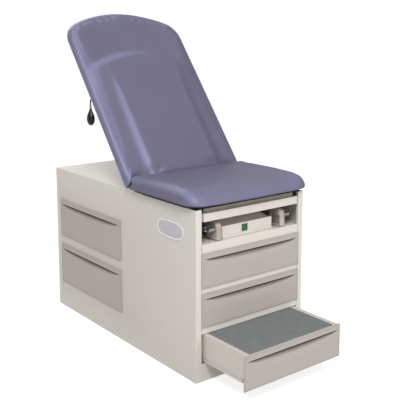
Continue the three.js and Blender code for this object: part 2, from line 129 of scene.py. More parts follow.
def make_studio():
    scene = bpy.context.scene
    scene.view_settings.view_transform = "Standard"
    scene.view_settings.look = "None"
    world = bpy.data.worlds.new("studio")
    world.use_nodes = True
    backdrop = world.node_tree.nodes["Background"]
    backdrop.inputs["Color"].default_value = (1.0, 1.0, 1.0, 1)
    seen_strength(world.node_tree, 0.50, 0.52, backdrop.inputs["Strength"])
    scene.world = world
    area_light("key", (-2.6, -3.2, 4.6), (0, 0, 0.7), 2.0, 163, (1.0, 0.99, 0.97))
    area_light("front", (0.9, -4.2, 1.2), (0, -0.3, 0.5), 1.8, 31)
    area_light("rear", (0.3, 3.8, 3.8), (0, 0.4, 0.9), 2.2, 88)


# ---- finishes


def rgb(red, green, blue):
    """The linear colour of an sRGB byte triple."""
    def linear(byte):
        value = byte / 255
        return value / 12.92 if value <= 0.04045 else ((value + 0.055) / 1.055) ** 2.4
    return linear(red), linear(green), linear(blue)


WHITE, BLACK = (1, 1, 1), (0, 0, 0)


class Finish:
    """A procedural material in object coordinates, with bump layers stated by scale and depth."""

    def __init__(self, name, colour, roughness, metallic=0.0, **fixed):
        self.material = bpy.data.materials.new(name)
        self.material.use_nodes = True
        self.material.diffuse_color = (*colour, 1)
        self.tree = self.material.node_tree
        self.bsdf = self.tree.nodes["Principled BSDF"]
        self.colour = colour
        self.roughness = roughness
        self.feed(self.bsdf, Base_Color=(*colour, 1), Roughness=roughness, Metallic=metallic, **fixed)
        self.coordinates = self.node("TexCoord").outputs["Object"]
        self.normal_out = None

    def feed(self, node, **inputs):
        """Each named input takes a value, or a link where an output socket is given."""
        for name, value in inputs.items():
            socket = node.inputs[name.replace("_", " ")]
            if isinstance(value, bpy.types.NodeSocket):
                self.tree.links.new(value, socket)
            else:
                socket.default_value = value
        return node

    def node(self, kind, **inputs):
        return self.feed(self.tree.nodes.new("ShaderNode" + kind), **inputs)

    def stretched(self, stretch):
        if stretch == (1, 1, 1):
            return self.coordinates
        return self.node("Mapping", Vector=self.coordinates, Scale=stretch).outputs["Vector"]

    def noise(self, scale, detail=3.0, stretch=(1, 1, 1)):
        texture = self.node("TexNoise", Vector=self.stretched(stretch), Scale=scale, Detail=detail)
        return texture.outputs["Fac"]

    def cells(self, scale, feature="F1", stretch=(1, 1, 1)):
        texture = self.node("TexVoronoi", Vector=self.stretched(stretch), Scale=scale)
        texture.feature = feature
        return texture.outputs["Distance"]

    def ramp(self, source, *stops):
        """Colour by the source's value, from (position, colour) stops."""
        ramp = self.node("ValToRGB", Fac=source)
        elements = ramp.color_ramp.elements
        while len(elements) < len(stops):
            elements.new(0.5)
        for element, (position, colour) in zip(elements, stops):
            element.position = position
            element.color = (*colour, 1)
        return ramp.outputs["Color"]

    def take_colour(self, socket):
        self.colour_out = socket
        self.feed(self.bsdf, Base_Color=socket)
        return self

    def laid_over(self, factor, colour, mode="MIX"):
        """A colour over the base; the factor and the colour are values or output sockets."""
        mix = self.node("Mix")
        mix.data_type = "RGBA"
        mix.blend_type = mode
        self.feed(mix, Factor=factor, A=self.colour_out, B=colour)
        return self.take_colour(mix.outputs["Result"])

    def drift(self, scale, amount, tint=WHITE, detail=3.0):
        """The base colour wanders by a share of itself, towards a tint at the light end."""
        low = [c * (1 - amount) for c in self.colour]
        high = [min(1.0, c * (1 + amount) * t) for c, t in zip(self.colour, tint)]
        return self.take_colour(self.ramp(self.noise(scale, detail), (0.32, low), (0.68, high)))

    def mixed(self, factor, colour, strength):
        """Another colour laid over the base where the factor is high."""
        scaled = self.node("Math")
        scaled.operation = "MULTIPLY"
        scaled.inputs[1].default_value = strength
        self.tree.links.new(factor, scaled.inputs[0])
        return self.laid_over(scaled.outputs[0], (*colour, 1))

    def edges_worn_and_highlit(self, colour, strength):
        """Convex edges take another colour: rubbed wear on the black enamel, a painted highlight on the pale
        finishes.
        """
        pointiness = self.node("NewGeometry").outputs["Pointiness"]
        return self.mixed(self.ramp(pointiness, (0.51, BLACK), (0.56, WHITE)), colour, strength)

    def polish(self, scale, spread):
        """Roughness varies about its value, as handling and cleaning leave it."""
        remap = self.node("MapRange", Value=self.noise(scale, 4.0), To_Min=self.roughness - spread,
                          To_Max=self.roughness + spread)
        self.feed(self.bsdf, Roughness=remap.outputs["Result"])
        return self

    def painted_light_from(self, direction, stops):
        """Painted light and shade: colour by how squarely it faces a fixed direction, from (cosine, colour)
        stops.
        """
        dot = self.node("VectorMath")
        dot.operation = "DOT_PRODUCT"
        dot.inputs[1].default_value = Vector(direction).normalized()
        self.tree.links.new(self.node("NewGeometry").outputs["Normal"], dot.inputs[0])
        facing = self.node("MapRange", Value=dot.outputs["Value"], From_Min=-1.0).outputs["Result"]
        shade = self.ramp(facing, *(((cosine + 1) / 2, colour) for cosine, colour in stops))
        return self.laid_over(1.0, shade, "MULTIPLY")

    def relief(self, height, depth):
        bump = self.node("Bump", Strength=1.0, Distance=depth, Height=height)
        if self.normal_out is not None:
            self.feed(bump, Normal=self.normal_out)
        self.normal_out = bump.outputs["Normal"]
        self.feed(self.bsdf, Normal=self.normal_out)
        return self


def layered(name, colour, roughness, drift, bumps, edges=None, polish=None, metallic=0.0, **fixed):
    """A finish by its layers: drift, coloured edges (colour, strength), polish, and bumps as (texture, its
    values, depth). Coloured edges are rubbed wear on enamel and a painted highlight on pale finishes."""
    finish = Finish(name, rgb(*colour), roughness, metallic, **fixed)
    finish.drift(*drift)
    if edges:
        finish.edges_worn_and_highlit(rgb(*edges[0]), edges[1])
    if polish:
        finish.polish(*polish)
    for texture, values, depth in bumps:
        finish.relief(texture(finish, *values), depth)
    return finish


# Slate vinyl whose colour carries painted light and shade by the way each part of it faces.
def vinyl_with_painted_light(part, direction, stops):
    vinyl = layered(
        f"slate_blue_{part}_vinyl", (140, 139, 172), 0.46, (7.0, 0.035, (0.98, 0.99, 1.03), 5.0), [],
        polish=(26, 0.05), Sheen_Weight=0.1, Sheen_Roughness=0.4, Sheen_Tint=(0.72, 0.74, 1.0, 1))
    vinyl.painted_light_from(direction, stops)
    grain = vinyl.cells(760, "DISTANCE_TO_EDGE")
    vinyl.mixed(vinyl.ramp(grain, (0.0, WHITE), (0.12, BLACK)), rgb(70, 69, 92), 0.22)
    vinyl.relief(grain, 0.00016).relief(vinyl.noise(170, 4.0), 0.00018)
    return vinyl.relief(vinyl.noise(22, 2.0), 0.0006)


def make_finishes():
    noise, cells = Finish.noise, Finish.cells
    # The fascia's lighter edge colour is a painted highlight.
    fascia = layered(
        "taupe_moulded_plastic", (186, 178, 172), 0.48, (5.0, 0.015),
        [(cells, (1500,), 0.00004), (noise, (45, 2.0), 0.0001)], ((214, 206, 198), 0.35), (12, 0.05))
    # Painted shade: a point attribute darkens each front's finger slot, the band under its lip and its rims.
    shade = fascia.node("Attribute")
    shade.attribute_name = "painted_shade"
    fascia.mixed(shade.outputs["Fac"], rgb(46, 38, 34), 1.0)
    return {
        # The pale finishes below take lighter convex edges: a painted highlight.
        "cream_paint": layered(
            "cream_powder_paint", (208, 202, 194), 0.42, (3.0, 0.018),
            [(noise, (420, 2.0), 0.00005), (noise, (60, 2.0), 0.0001)], ((240, 236, 228), 0.5), (9.0, 0.05),
            Coat_Weight=0.12, Coat_Roughness=0.3),
        # A darker copy of the cream paint, for the step box: painted shade.
        "shaded_cream_paint": layered(
            "shaded_cream_powder_paint", (198, 188, 181), 0.44, (4.0, 0.02), [(noise, (420, 2.0), 0.00005)],
            ((226, 220, 212), 0.5), (12, 0.05), Coat_Weight=0.1, Coat_Roughness=0.3),
        "cream_plastic": layered(
            "cream_moulded_plastic", (203, 195, 187), 0.5, (8.0, 0.02), [(noise, (900, 3.0), 0.00006)],
            ((238, 236, 230), 0.5), (20, 0.05)),
        "taupe_plastic": fascia,
        # Painted light and shade on the covers: lighter towards each direction, with a painted highlight
        # band, and darker away from it.
        "vinyl": vinyl_with_painted_light("back", (-0.80, -0.05, 0.60), [
            (-0.3, (0.38, 0.36, 0.34)), (0.1, (0.44, 0.42, 0.40)), (0.33, (0.53, 0.51, 0.48)),
            (0.42, (0.61, 0.59, 0.55)), (0.49, (0.64, 0.62, 0.59)), (0.565, (0.80, 0.80, 0.81)),
            (0.68, (0.91, 0.91, 0.94)), (0.75, (0.95, 0.96, 0.98)), (0.83, (0.72, 0.72, 0.73)),
            (1.0, (0.60, 0.59, 0.59))]),
        "seat_vinyl": vinyl_with_painted_light("seat", (-0.57, -0.57, 0.59), [
            (-0.3, (0.38, 0.36, 0.34)), (0.2, (0.46, 0.44, 0.42)), (0.59, (0.54, 0.52, 0.50)),
            (0.81, (0.70, 0.69, 0.68)), (0.95, (0.82, 0.82, 0.83))]),
        "grey_mat": layered(
            "grey_ribbed_rubber", (122, 126, 126), 0.78, (30, 0.06, (1.0, 1.01, 1.03), 5.0),
            [(cells, (420, "SMOOTH_F1"), 0.0005), (noise, (1300, 2.0), 0.0001)]),
        "zinc_steel": layered(
            "zinc_plated_steel", (158, 160, 163), 0.42, (40, 0.1, (1, 1, 1.02), 4.0),
            [(noise, (300, 3.0, (1, 0.2, 1)), 0.00008)], polish=(55, 0.1), metallic=0.85),
        "bright_steel": layered(
            "bright_plated_steel", (196, 197, 199), 0.2, (30, 0.04),
            [(noise, (700, 2.0, (1, 0.05, 1)), 0.00003)], polish=(80, 0.06), metallic=1.0),
        "black_plastic": layered(
            "black_glossy_plastic", (12, 12, 13), 0.32, (60, 0.2), [(noise, (220, 2.0), 0.00008)],
            polish=(40, 0.06), Coat_Weight=0.15, Coat_Roughness=0.12),
        "black_paint": layered(
            "black_enamel", (24, 25, 27), 0.34, (25, 0.15), [(noise, (380, 2.0), 0.00006)],
            ((95, 95, 98), 0.3), (30, 0.06)),
        "dark_board": layered(
            "dark_dust_cover", (38, 38, 44), 0.9, (90, 0.25, (1, 1, 1.05), 5.0),
            [(cells, (620, "F1", (1, 0.35, 1)), 0.0004), (noise, (60, 3.0), 0.0008)], Sheen_Weight=0.25),
        "badge_plastic": layered(
            "badge_face", (200, 196, 204), 0.3, (30, 0.03), [(noise, (500, 2.0), 0.00003)],
            polish=(60, 0.04), metallic=0.1, Coat_Weight=0.4, Coat_Roughness=0.1),
        "rim": layered(
            "badge_rim", (244, 244, 244), 0.16, (30, 0.02), [(noise, (500, 2.0), 0.00002)],
            metallic=0.15, Coat_Weight=0.6, Coat_Roughness=0.05),
        "green": layered(
            "green_tag", (46, 92, 62), 0.4, (160, 0.14, (1, 1.04, 1), 5.0), [(noise, (700, 2.0), 0.00005)]),
        # The tread's lighter edge colour is a painted highlight on the plate's rims.
        "tread": layered(
            "grey_foot_tread", (158, 148, 135), 0.75, (220, 0.16, (1, 1, 0.98), 4.0),
            [(cells, (330, "SMOOTH_F1"), 0.0006)], ((228, 221, 212), 0.42)),
        # Painted shade: the brown-grey band under the seat, behind the leg rest bar.
        "umber_painted_shade": layered(
            "brown_grey_painted_shade", (158, 148, 131), 0.5, (12, 0.06), [(noise, (300, 2.0), 0.00006)]),
        # A pale colour that stands in for light the pan's inside does not get: painted light.
        "liner": layered(
            "pale_liner_painted_light", (238, 222, 208), 0.6, (9, 0.05), [(noise, (120, 3.0, (0.2, 1, 1)), 0.0001)]),
    }


FINISHES = make_finishes()

# ---- mesh helpers


@contextmanager
def edited(mesh):
    """The mesh as a bmesh, written back afterwards."""
    bm = bmesh.new()
    bm.from_mesh(mesh)
    yield bm
    bm.to_mesh(mesh)
    bm.free()


def new_object(name, vertices, faces, finish, smooth_angle=35.0):
    mesh = bpy.data.meshes.new(name)
    mesh.from_pydata([tuple(v) for v in vertices], [], [tuple(f) for f in faces])
    mesh.materials.append(FINISHES[finish].material)
    clean(mesh, smooth_angle)
    return add_object(name, mesh)


def clean(mesh, smooth_angle):
    touching = 1e-6
    with edited(mesh) as bm:
        bmesh.ops.remove_doubles(bm, verts=bm.verts, dist=touching)
        bmesh.ops.dissolve_degenerate(bm, edges=bm.edges, dist=touching)
        bmesh.ops.recalc_face_normals(bm, faces=bm.faces)
    mesh.shade_smooth()
    mesh.set_sharp_from_angle(angle=math.radians(smooth_angle))


def settle(obj):
    """The object's mesh becomes what its modifiers make of it."""
    bpy.context.view_layer.update()
    evaluated = obj.evaluated_get(bpy.context.evaluated_depsgraph_get())
    mesh = bpy.data.meshes.new_from_object(evaluated)
    obj.modifiers.clear()
    obj.data = mesh


def joined(name, pieces):
    """One object from several, keeping each one's finish."""
    target = pieces[0]
    with bpy.context.temp_override(
        active_object=target, object=target, selected_objects=pieces, selected_editable_objects=pieces
    ):
        bpy.ops.object.join()
    target.name = name
    target.data.name = name
    return target


def adopt(obj, node):
    """The piece stands for its CAD node and moves with that node's body."""
    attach(obj, frame["nodes"][node]["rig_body"])
    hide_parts(node)


def trim(obj, body):
    """The piece is an addition that moves with a body and stands for no CAD node."""
    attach(obj, body)


def soft_part(node, slot, radius, finish=None, segments=2, fold=None):
    """A frame part in its own shape with edges rounded by a radius in millimetres. Its finish is the slot's
    unless another is given, and `fold` picks edges that are bends in the sheet."""
    mesh = frame["nodes"][node].data.copy()
    mesh.name = node + "_body"
    mesh.materials.clear()
    mesh.materials.append(FINISHES[finish or slot].material)
    with edited(mesh) as bm:
        bmesh.ops.remove_doubles(bm, verts=bm.verts, dist=2e-6)
        bmesh.ops.dissolve_limit(bm, angle_limit=math.radians(1), verts=bm.verts, edges=bm.edges)
        if fold:
            bends = [e for e in bm.edges if fold(e.verts[0].co, e.verts[1].co)]
            bmesh.ops.bevel(bm, geom=bends, offset=2.4 * MM, segments=4, profile=0.5, affect="EDGES")
    obj = add_object(node + "_body", mesh)
    bevel = obj.modifiers.new("edges", "BEVEL")
    bevel.width = radius * MM
    bevel.segments = segments
    bevel.limit_method = "ANGLE"
    bevel.angle_limit = math.radians(38)
    settle(obj)
    obj.data.shade_smooth()
    obj.data.set_sharp_from_angle(angle=math.radians(50))
    obj.modifiers.new("shading", "WEIGHTED_NORMAL").keep_sharp = True
    settle(obj)
    adopt(obj, node)


def grid_faces(rows, columns, wrap=False):
    faces = []
    for row in range(rows - 1):
        for column in range(columns if wrap else columns - 1):
            here, beside = row * columns + column, row * columns + (column + 1) % columns
            faces.append((here, beside, beside + columns, here + columns))
    return faces


def closed_rings(name, points, columns, finish, smooth_angle=35.0):
    """A solid from rings of so many points each, with its open ends filled."""
    faces = grid_faces(len(points) // columns, columns, wrap=True)
    obj = new_object(name, points, faces, finish, smooth_angle)
    with edited(obj.data) as bm:
        open_edges = [e for e in bm.edges if e.is_boundary]
        if open_edges:
            bmesh.ops.holes_fill(bm, edges=open_edges, sides=0)
        bmesh.ops.recalc_face_normals(bm, faces=bm.faces)
    return obj


def lathe(name, profile, finish, axis="z", segments=40, smooth_angle=35.0):
    """A turned solid about Z or Y: profile is a list of (radius, height) from end to end."""
    points = []
    for radius, height in profile:
        for angle in np.linspace(0, 2 * math.pi, segments, endpoint=False):
            u, v = radius * math.cos(angle), radius * math.sin(angle)
            points.append((u, v, height) if axis == "z" else (v, height, u))
    return closed_rings(name, points, segments, finish, smooth_angle)


def chamfered_rod(name, radius, low, high, finish, chamfer=0.8 * MM):
    """A rod along Y with broken corners."""
    half = [(radius * 0.3, 0), (radius - chamfer, 0), (radius - chamfer * 0.3, chamfer * 0.3),
            (radius, chamfer)]
    profile = [(r, low + rise) for r, rise in half] + [(r, high - rise) for r, rise in reversed(half)]
    return lathe(name, profile, finish, "y", smooth_angle=50.0)


def rounded_block(name, low, high, radius, finish):
    """A block with its edges rolled over."""
    mesh = bpy.data.meshes.new(name)
    mesh.materials.append(FINISHES[finish].material)
    size = Vector(high) - Vector(low)
    middle = (Vector(high) + Vector(low)) / 2
    with edited(mesh) as bm:
        bmesh.ops.create_cube(bm, size=1.0)
        for vertex in bm.verts:
            vertex.co = Vector(c * s for c, s in zip(vertex.co, size)) + middle
        bmesh.ops.bevel(bm, geom=bm.edges[:], offset=radius, segments=3, profile=0.5, affect="EDGES")
    clean(mesh, 50.0)
    return add_object(name, mesh)


def swept_tube(name, path, radius, finish):
    """A round wire along a path, with domed ends."""
    segments = 20
    path = [Vector(p) for p in path]
    rings, normal = [], None
    for i, point in enumerate(path):
        ahead = path[min(i + 1, len(path) - 1)] - path[max(i - 1, 0)]
        ahead.normalize()
        if normal is None:
            normal = ahead.orthogonal().normalized()
        normal = (normal - ahead * normal.dot(ahead)).normalized()
        rings.append((point, ahead, normal, ahead.cross(normal), radius))
    first, last = rings[0], rings[-1]
    caps = [(0.25, 0.97), (0.7, 0.7), (0.95, 0.3)]
    start = [(first[0] - first[1] * radius * k, *first[1:4], radius * r) for r, k in caps]
    end = [(last[0] + last[1] * radius * k, *last[1:4], radius * r) for r, k in reversed(caps)]
    points = []
    for point, _, normal, side, r in start + rings + end:
        for k in range(segments):
            angle = 2 * math.pi * k / segments
            points.append(point + normal * r * math.cos(angle) + side * r * math.sin(angle))
    return closed_rings(name, points, segments, finish, 60.0)


def screw_head(name, centre, normal, radius):
    """A button head with a hexagonal socket."""
    rise = radius * 0.55
    segments = 36
    angles = [2 * math.pi * k / segments for k in range(segments)]
    points = []
    for share, height in [(1.0, -0.1), (1.0, 0.12), (0.96, 0.35), (0.85, 0.62), (0.68, 0.85), (0.56, 0.94)]:
        points += [
            (radius * share * math.cos(a), radius * share * math.sin(a), rise * height) for a in angles]
    for share, height in [(0.5, 0.96), (0.47, 0.9), (0.47, 0.2), (0.1, 0.12)]:
        for a in angles:
            flat = radius * share * math.cos(math.pi / 6) / math.cos((a % (math.pi / 3)) - math.pi / 6)
            points.append((flat * math.cos(a), flat * math.sin(a), rise * height))
    obj = closed_rings(name, points, segments, "zinc_steel", 40.0)
    turn = Vector((0, 0, 1)).rotation_difference(Vector(normal)).to_matrix().to_4x4()
    obj.data.transform(Matrix.Translation(centre) @ turn)
    return obj


def smoothstep(value, start, end):
    t = np.clip((value - start) / (end - start), 0, 1)
    return t * t * (3 - 2 * t)


def rounded_outline(half_width, half_height, radius, inset=0.0, arc=8):
    """A rounded rectangle about the origin, anticlockwise, moved inwards by an inset."""
    radius = max(radius - inset, 0.2 * MM)
    u, v = half_width - inset - radius, half_height - inset - radius
    points = []
    for quarter, (cu, cv) in enumerate([(u, -v), (u, v), (-u, v), (-u, -v)]):
        for k in range(arc + 1):
            angle = math.pi / 2 * (quarter - 1 + k / arc)
            points.append((cu + radius * math.cos(angle), cv + radius * math.sin(angle)))
    return points


def stacked_rings(name, outline, levels, finish, place, smooth_angle=35.0, bands=()):
    """A solid from an outline's insets, by (inset, height) levels. Bands are (first level, last, finish)."""
    points = []
    for inset, height in levels:
        points += [place(u, v, height) for u, v in outline(inset)]
    columns = len(points) // len(levels)
    obj = closed_rings(name, points, columns, finish, smooth_angle)
    for first, last, band_finish in bands:
        obj.data.materials.append(FINISHES[band_finish].material)
        for face in obj.data.polygons[first * columns:last * columns]:
            face.material_index = len(obj.data.materials) - 1
    return obj


# ---- cushions


def bezier(start, first, second, end, count):
    t = np.linspace(0, 1, count)[:, None]
    a, b, c, d = (np.array(p, float) for p in (start, first, second, end))
    return (1 - t) ** 3 * a + 3 * (1 - t) ** 2 * t * b + 3 * (1 - t) * t ** 2 * c + t ** 3 * d


def arc_points(centre, radius, start, end, count):
    angles = np.linspace(start, end, count)
    return np.stack([centre[0] + radius * np.cos(angles), centre[1] + radius * np.sin(angles)], 1)


def edge_distance(points, outline):
    """How far each point is from the outline's nearest sample."""
    result = np.empty(len(points))
    for i in range(0, len(points), 2000):
        gap = points[i:i + 2000, None, :] - outline[None, :, :]
        result[i:i + 2000] = np.sqrt((gap ** 2).sum(2).min(1))
    return result


def cushion_mesh(name, outline, spine, underside, top, tuck, rings=44, cover="seat_vinyl"):
    """A closed cushion over a plan outline: flat below, tucked in at the bottom edge, shaped on top.

    spine is the line that the rings shrink to, as its two end values of the second coordinate; top gives the
    height of the upper surface from plan positions and their distance to the outline."""
    outline = np.asarray(outline)
    middle = np.stack([np.zeros(len(outline)), np.clip(outline[:, 1], *spine)], 1)
    inward = middle - outline
    length = np.linalg.norm(inward, axis=1, keepdims=True)
    inward = inward / length
    dense = densified(outline, 2 * MM)
    levels = []
    for share in (1.0, 0.8, 0.55, 0.3, 0.12, 0.05):
        levels.append((outline + inward * length * share, np.full(len(outline), underside)))
    rim_height = top(outline, np.zeros(len(outline)))
    for inset, share in [(tuck, 0.0), (tuck * 0.5, 0.12), (tuck * 0.15, 0.35), (0.0, 0.65), (0.0, 1.0)]:
        height = underside + (rim_height - underside) * share
        levels.append((outline + inward * inset, height))
    for k in range(1, rings + 1):
        share = (k / rings) ** 1.7
        plan = outline + inward * length * share
        levels.append((plan, top(plan, edge_distance(plan, dense))))
    points = np.concatenate([np.column_stack([plan, height]) for plan, height in levels])
    return closed_rings(name, points, len(outline), cover, 180)


def densified(outline, step):
    closed = np.vstack([outline, outline[:1]])
    parts = []
    for a, b in zip(closed[:-1], closed[1:]):
        count = max(1, int(np.linalg.norm(b - a) / step))
        parts.append(a + (b - a) * np.arange(count)[:, None] / count)
    return np.vstack(parts)


def coordinates(mesh):
    values = np.empty(len(mesh.vertices) * 3)
    mesh.vertices.foreach_get("co", values)
    return values.reshape(-1, 3)


def inflate(obj, voxel, underside, cap, keep_out):
    """Remesh, swell by cloth pressure with the underside held, limit the swelling, and smooth once over."""
    remesh = obj.modifiers.new("remesh", "REMESH")
    remesh.mode = "VOXEL"
    remesh.voxel_size = voxel
    settle(obj)
    rest = coordinates(obj.data)
    held = obj.vertex_groups.new(name="held")
    held.add([int(i) for i in np.nonzero(rest[:, 2] < underside + voxel * 0.6)[0]], 1.0, "ADD")
    cloth = obj.modifiers.new("cloth", "CLOTH")
    cloth.settings.use_pressure = True
    cloth.settings.uniform_pressure_force = 4.0
    cloth.settings.vertex_group_mass = "held"
    cloth.settings.effector_weights.gravity = 0.0
    scene = bpy.context.scene
    for step in range(1, 21):
        scene.frame_set(step)
    evaluated = obj.evaluated_get(bpy.context.evaluated_depsgraph_get())
    swollen = coordinates(evaluated.data)
    obj.modifiers.clear()
    scene.frame_set(1)
    move = swollen - rest
    size = np.linalg.norm(move, axis=1, keepdims=True)
    move *= np.minimum(1.0, cap / np.maximum(size, 1e-9))
    rest = rest + move
    obj.data.vertices.foreach_set("co", keep_out(rest).ravel())
    obj.vertex_groups.clear()
    smooth = obj.modifiers.new("smooth", "SMOOTH")
    smooth.factor = 0.5
    smooth.iterations = 3
    refine = obj.modifiers.new("refine", "SUBSURF")
    refine.levels = 1
    refine.render_levels = 1
    settle(obj)
    obj.data.shade_smooth()


SEAT_LOW, SEAT_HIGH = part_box("seat_cushion")
BACK_HALF = SEAT_HIGH.x
SWELL = 1 * MM  # how much smaller a cushion starts than it ends


def mirrored(parts):
    """A whole outline from the pieces of its right side, which starts and ends on the centre line."""
    side = np.vstack(parts)
    return np.vstack([side, side[::-1][1:-1] * (-1, 1)])


def back_outline(margin):
    """Straight sides, round shoulders and a shallow crown, in the flat back's plane (across, along)."""
    half = BACK_HALF - margin
    shoulder = 0.130 - margin
    crown = 0.620 - margin
    reach = 0.990 - margin
    near = -0.015 + margin
    inner = half - shoulder
    centre = reach - crown
    rise = math.sqrt((crown - shoulder) ** 2 - inner ** 2)
    lean = math.atan2(rise, inner)
    corner = 0.012
    return mirrored([
        np.column_stack([np.linspace(0, half - corner, 24), np.full(24, near)]),
        arc_points((half - corner, near + corner), corner, -math.pi / 2, 0, 8)[1:-1],
        np.column_stack([np.full(60, half), np.linspace(near + corner, centre + rise, 60)]),
        arc_points((inner, centre + rise), shoulder, 0, lean, 22)[1:],
        arc_points((0, centre), crown, lean, math.pi / 2, 26)[1:],
    ])


def back_relief(plan, gap):
    """Height of the back's upper surface: a lumbar panel between two channels that end at shoulder height, a
    long rim outside them, and an arched step down to the head area."""
    across, along = np.abs(plan[:, 0]), plan[:, 1]
    arch = 0.698 - 1.0 * across ** 2
    head = smoothstep(along, arch - 0.014, arch + 0.036)
    shut = smoothstep(along, 0.46, 0.62)
    start = 0.192 + 0.010 * shut
    share = np.clip((across - start) / (0.302 - start), 0, 1)
    fall = (0.0185 - 0.010 * along / 0.6) * (1 - shut) + 0.0055 * shut
    fall = fall * (1 - (1 - share) ** (5.2 - 2.8 * shut))
    fall = fall + (0.0135 - fall) * smoothstep(across, 0.300, 0.324)
    step = 0.0195 - 0.0050 * smoothstep(across, 0.14, 0.33)
    radius = 0.026
    inside = np.clip(radius - gap, 0, radius)
    roll = radius - np.sqrt(np.maximum(radius ** 2 - inside ** 2, 0))
    return 0.0600 - SWELL * 0.7 - np.maximum(fall, step * head) - roll


def back_keep_out(points):
    """The near end stays inside the circle it sweeps about the hinge, clear of the seat."""
    sweep = 61.5 * MM
    points = points.copy()
    near = points[:, 1] < 30 * MM
    points[near, 1] = np.maximum(points[near, 1], -14.5 * MM)
    radius = np.hypot(points[:, 1], points[:, 2])
    over = near & (points[:, 1] < 0) & (radius > sweep)
    points[over, 1] = -np.sqrt(np.maximum(sweep ** 2 - points[over, 2] ** 2, 0))
    points[:, 2] = np.maximum(points[:, 2], 0.0083)
    return points


def make_back_cushion():
    underside = 8.3 * MM
    spine = (0.06, 0.72)
    obj = cushion_mesh(
        "back_cushion_vinyl", back_outline(SWELL), spine, underside, back_relief, 9 * MM, cover="vinyl")
    inflate(obj, 6 * MM, underside, 5 * MM, back_keep_out)
    obj.data.transform(BACK_TURN)
    adopt(obj, "back_cushion")


SEAT_FRONT = SEAT_LOW.y + 3 * MM
SEAT_REAR = FRONT_Y + 455 * MM
SEAT_TOP = SEAT_HIGH.z
SEAT_BASE = SEAT_LOW.z


def seat_outline(margin):
    """Plan of the seat: bowed front with rounded corners, straight sides, softly cornered rear."""
    half = BACK_HALF - margin
    front = SEAT_FRONT + margin
    rear = SEAT_REAR - margin
    corner = 0.088
    small = 0.005
    quarter = bezier((half - corner, front + 0.002), (half - 0.032, front + 0.005), (half, front + 0.034),
                     (half, front + corner), 18)
    bow = np.linspace(0, half - corner, 26)
    return mirrored([
        np.column_stack([bow, front - 0.0065 + 0.0085 * (bow / (half - corner)) ** 2]),
        quarter[1:],
        np.column_stack([np.full(40, half), np.linspace(front + corner, rear - small, 41)[1:]]),
        arc_points((half - small, rear - small), small, 0, math.pi / 2, 9)[1:],
        np.column_stack([np.linspace(half - small, 0, 24)[1:], np.full(23, rear)]),
    ])


def seat_surface(plan, gap):
    """Upper surface of the seat: a waterfall over the front, rolled sides and a faintly dished middle."""
    across, along = np.abs(plan[:, 0]), plan[:, 1]
    top = SEAT_TOP - SWELL * 0.6
    front = SEAT_FRONT - 0.002
    curve = bezier((0, -0.050), (0.000, -0.024), (0.040, -0.011), (0.115, -0.004), 60)
    tail = bezier((0.115, -0.004), (0.15, -0.002), (0.19, 0), (0.24, 0), 30)[1:]
    fall = np.interp(along - front, np.append(curve[:, 0], tail[:, 0]), np.append(curve[:, 1], tail[:, 1]))
    reach = 0.034
    inside = np.clip(reach - gap, 0, reach) / reach
    side_gap = BACK_HALF - SWELL - across
    far = smoothstep(along, SEAT_REAR - 0.12, SEAT_REAR - 0.05)
    near_side = np.clip(reach - side_gap, 0, reach) / reach
    inside = inside * (1 - far) + near_side * far
    side_roll = 0.030 * (1 - np.sqrt(np.maximum(1 - inside ** 2.2, 0)))
    dish = 0.004 * smoothstep(side_gap, 0.05, 0.13) * smoothstep(along - front, 0.09, 0.22)
    folds = np.zeros(len(plan))
    for slant, offset, size in [(0.55, 0.02, 1.0), (0.75, 0.065, 0.8), (0.4, -0.03, 0.6)]:
        line = (side_gap - 0.05) - slant * (along - front - 0.12) - offset
        reachable = smoothstep(along - front, 0.05, 0.16) * (1 - smoothstep(along - front, 0.24, 0.42))
        folds += 0.0014 * size * np.exp(-(line / 0.020) ** 2) * reachable
    height = top + fall - side_roll - dish + folds
    lowest = SEAT_BASE + 0.013
    return lowest + 0.5 * ((height - lowest) + np.sqrt((height - lowest) ** 2 + 0.004 ** 2)) - 0.0002


def seat_keep_out(points):
    """The rear end is hollowed as the back's near end turns past it: its depth by height above the floor."""
    points = points.copy()
    heights = np.array([764.3, 790.5, 793.5, 797, 808, 815.5, 824.7, 828.5]) * MM
    depths = np.array([471.8, 437.8, 436.0, 436.6, 444.0, 451.4, 453.8, 446.0]) * MM + FRONT_Y
    limit = np.interp(points[:, 2], heights, depths)
    start = SEAT_REAR - 0.07
    share = np.clip((points[:, 1] - start) / (SEAT_REAR - start), 0, 1)
    points[:, 1] = np.where(points[:, 1] > start, start + share * (limit - start), points[:, 1])
    points[:, 2] = np.maximum(points[:, 2], SEAT_BASE)
    return points


def make_seat_cushion():
    spine = (FRONT_Y + 0.12, FRONT_Y + 0.36)
    obj = cushion_mesh("seat_cushion_vinyl", seat_outline(SWELL), spine, SEAT_BASE, seat_surface, 8 * MM)
    inflate(obj, 6 * MM, SEAT_BASE, 5 * MM, seat_keep_out)
    adopt(obj, "seat_cushion")


